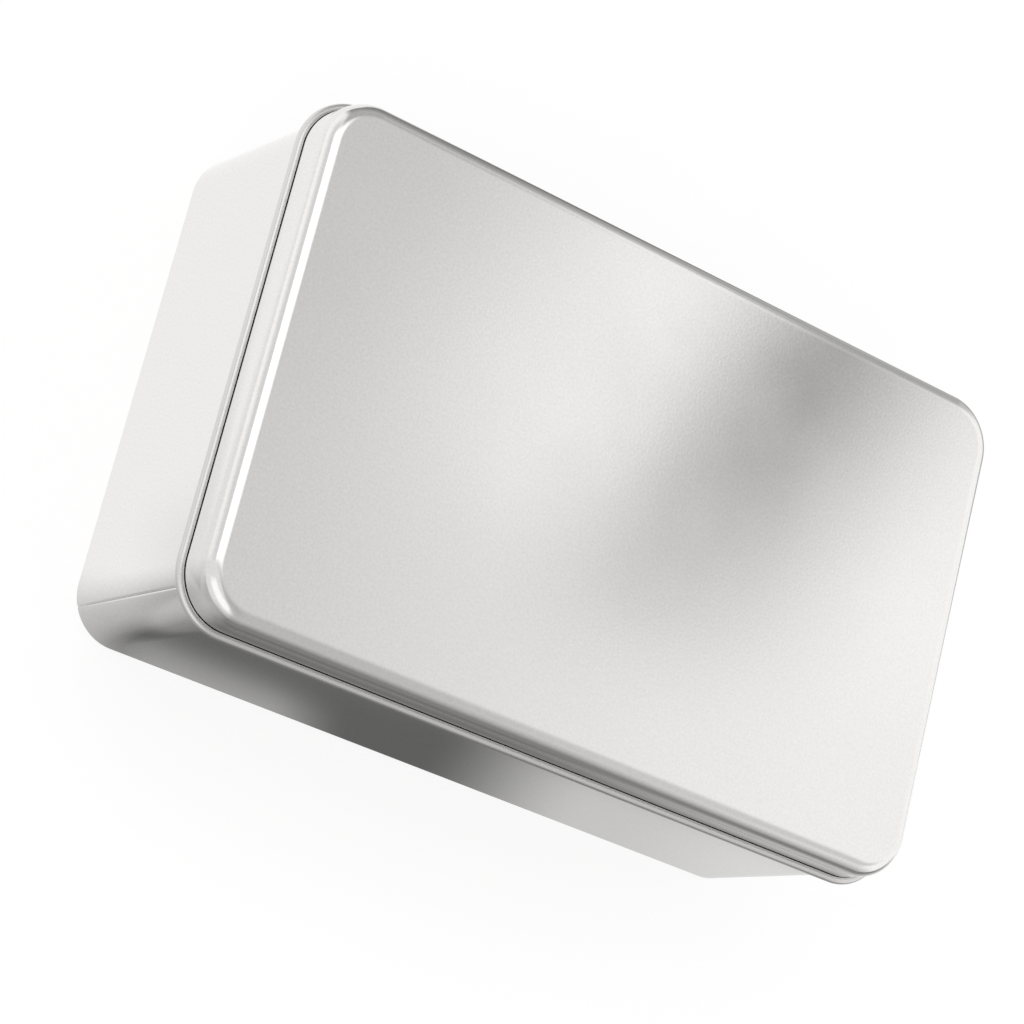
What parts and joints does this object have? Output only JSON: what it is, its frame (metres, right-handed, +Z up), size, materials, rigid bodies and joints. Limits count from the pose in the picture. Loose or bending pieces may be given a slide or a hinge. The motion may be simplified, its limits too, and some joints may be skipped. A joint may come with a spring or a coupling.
{
  "type": "slip-lid tin",
  "caption": "Rectangular tinplate tin with a lift-off lid: rounded shoulder and outward curled edge, seamed wall and recessed bottom plate.",
  "frame": {"origin": "middle of the base, in the plane that the tin stands on", "axes": "+X along the tin's length, +Y across its width towards the back, +Z up through the lid"},
  "size_m": [0.1934, 0.1214, 0.061],
  "materials": {
    "tinplate": "satin"
  },
  "bodies": {
    "tin_body": {"body_wall": "tinplate", "bottom_plate": "tinplate"},
    "lid": {"lid": "tinplate"}
  },
  "joints": [
    {"name": "lid_lift", "type": "slide", "parent": "tin_body", "child": "lid", "axis": [0, 0, 1], "range_m": [0, 0.08]}
  ]
}
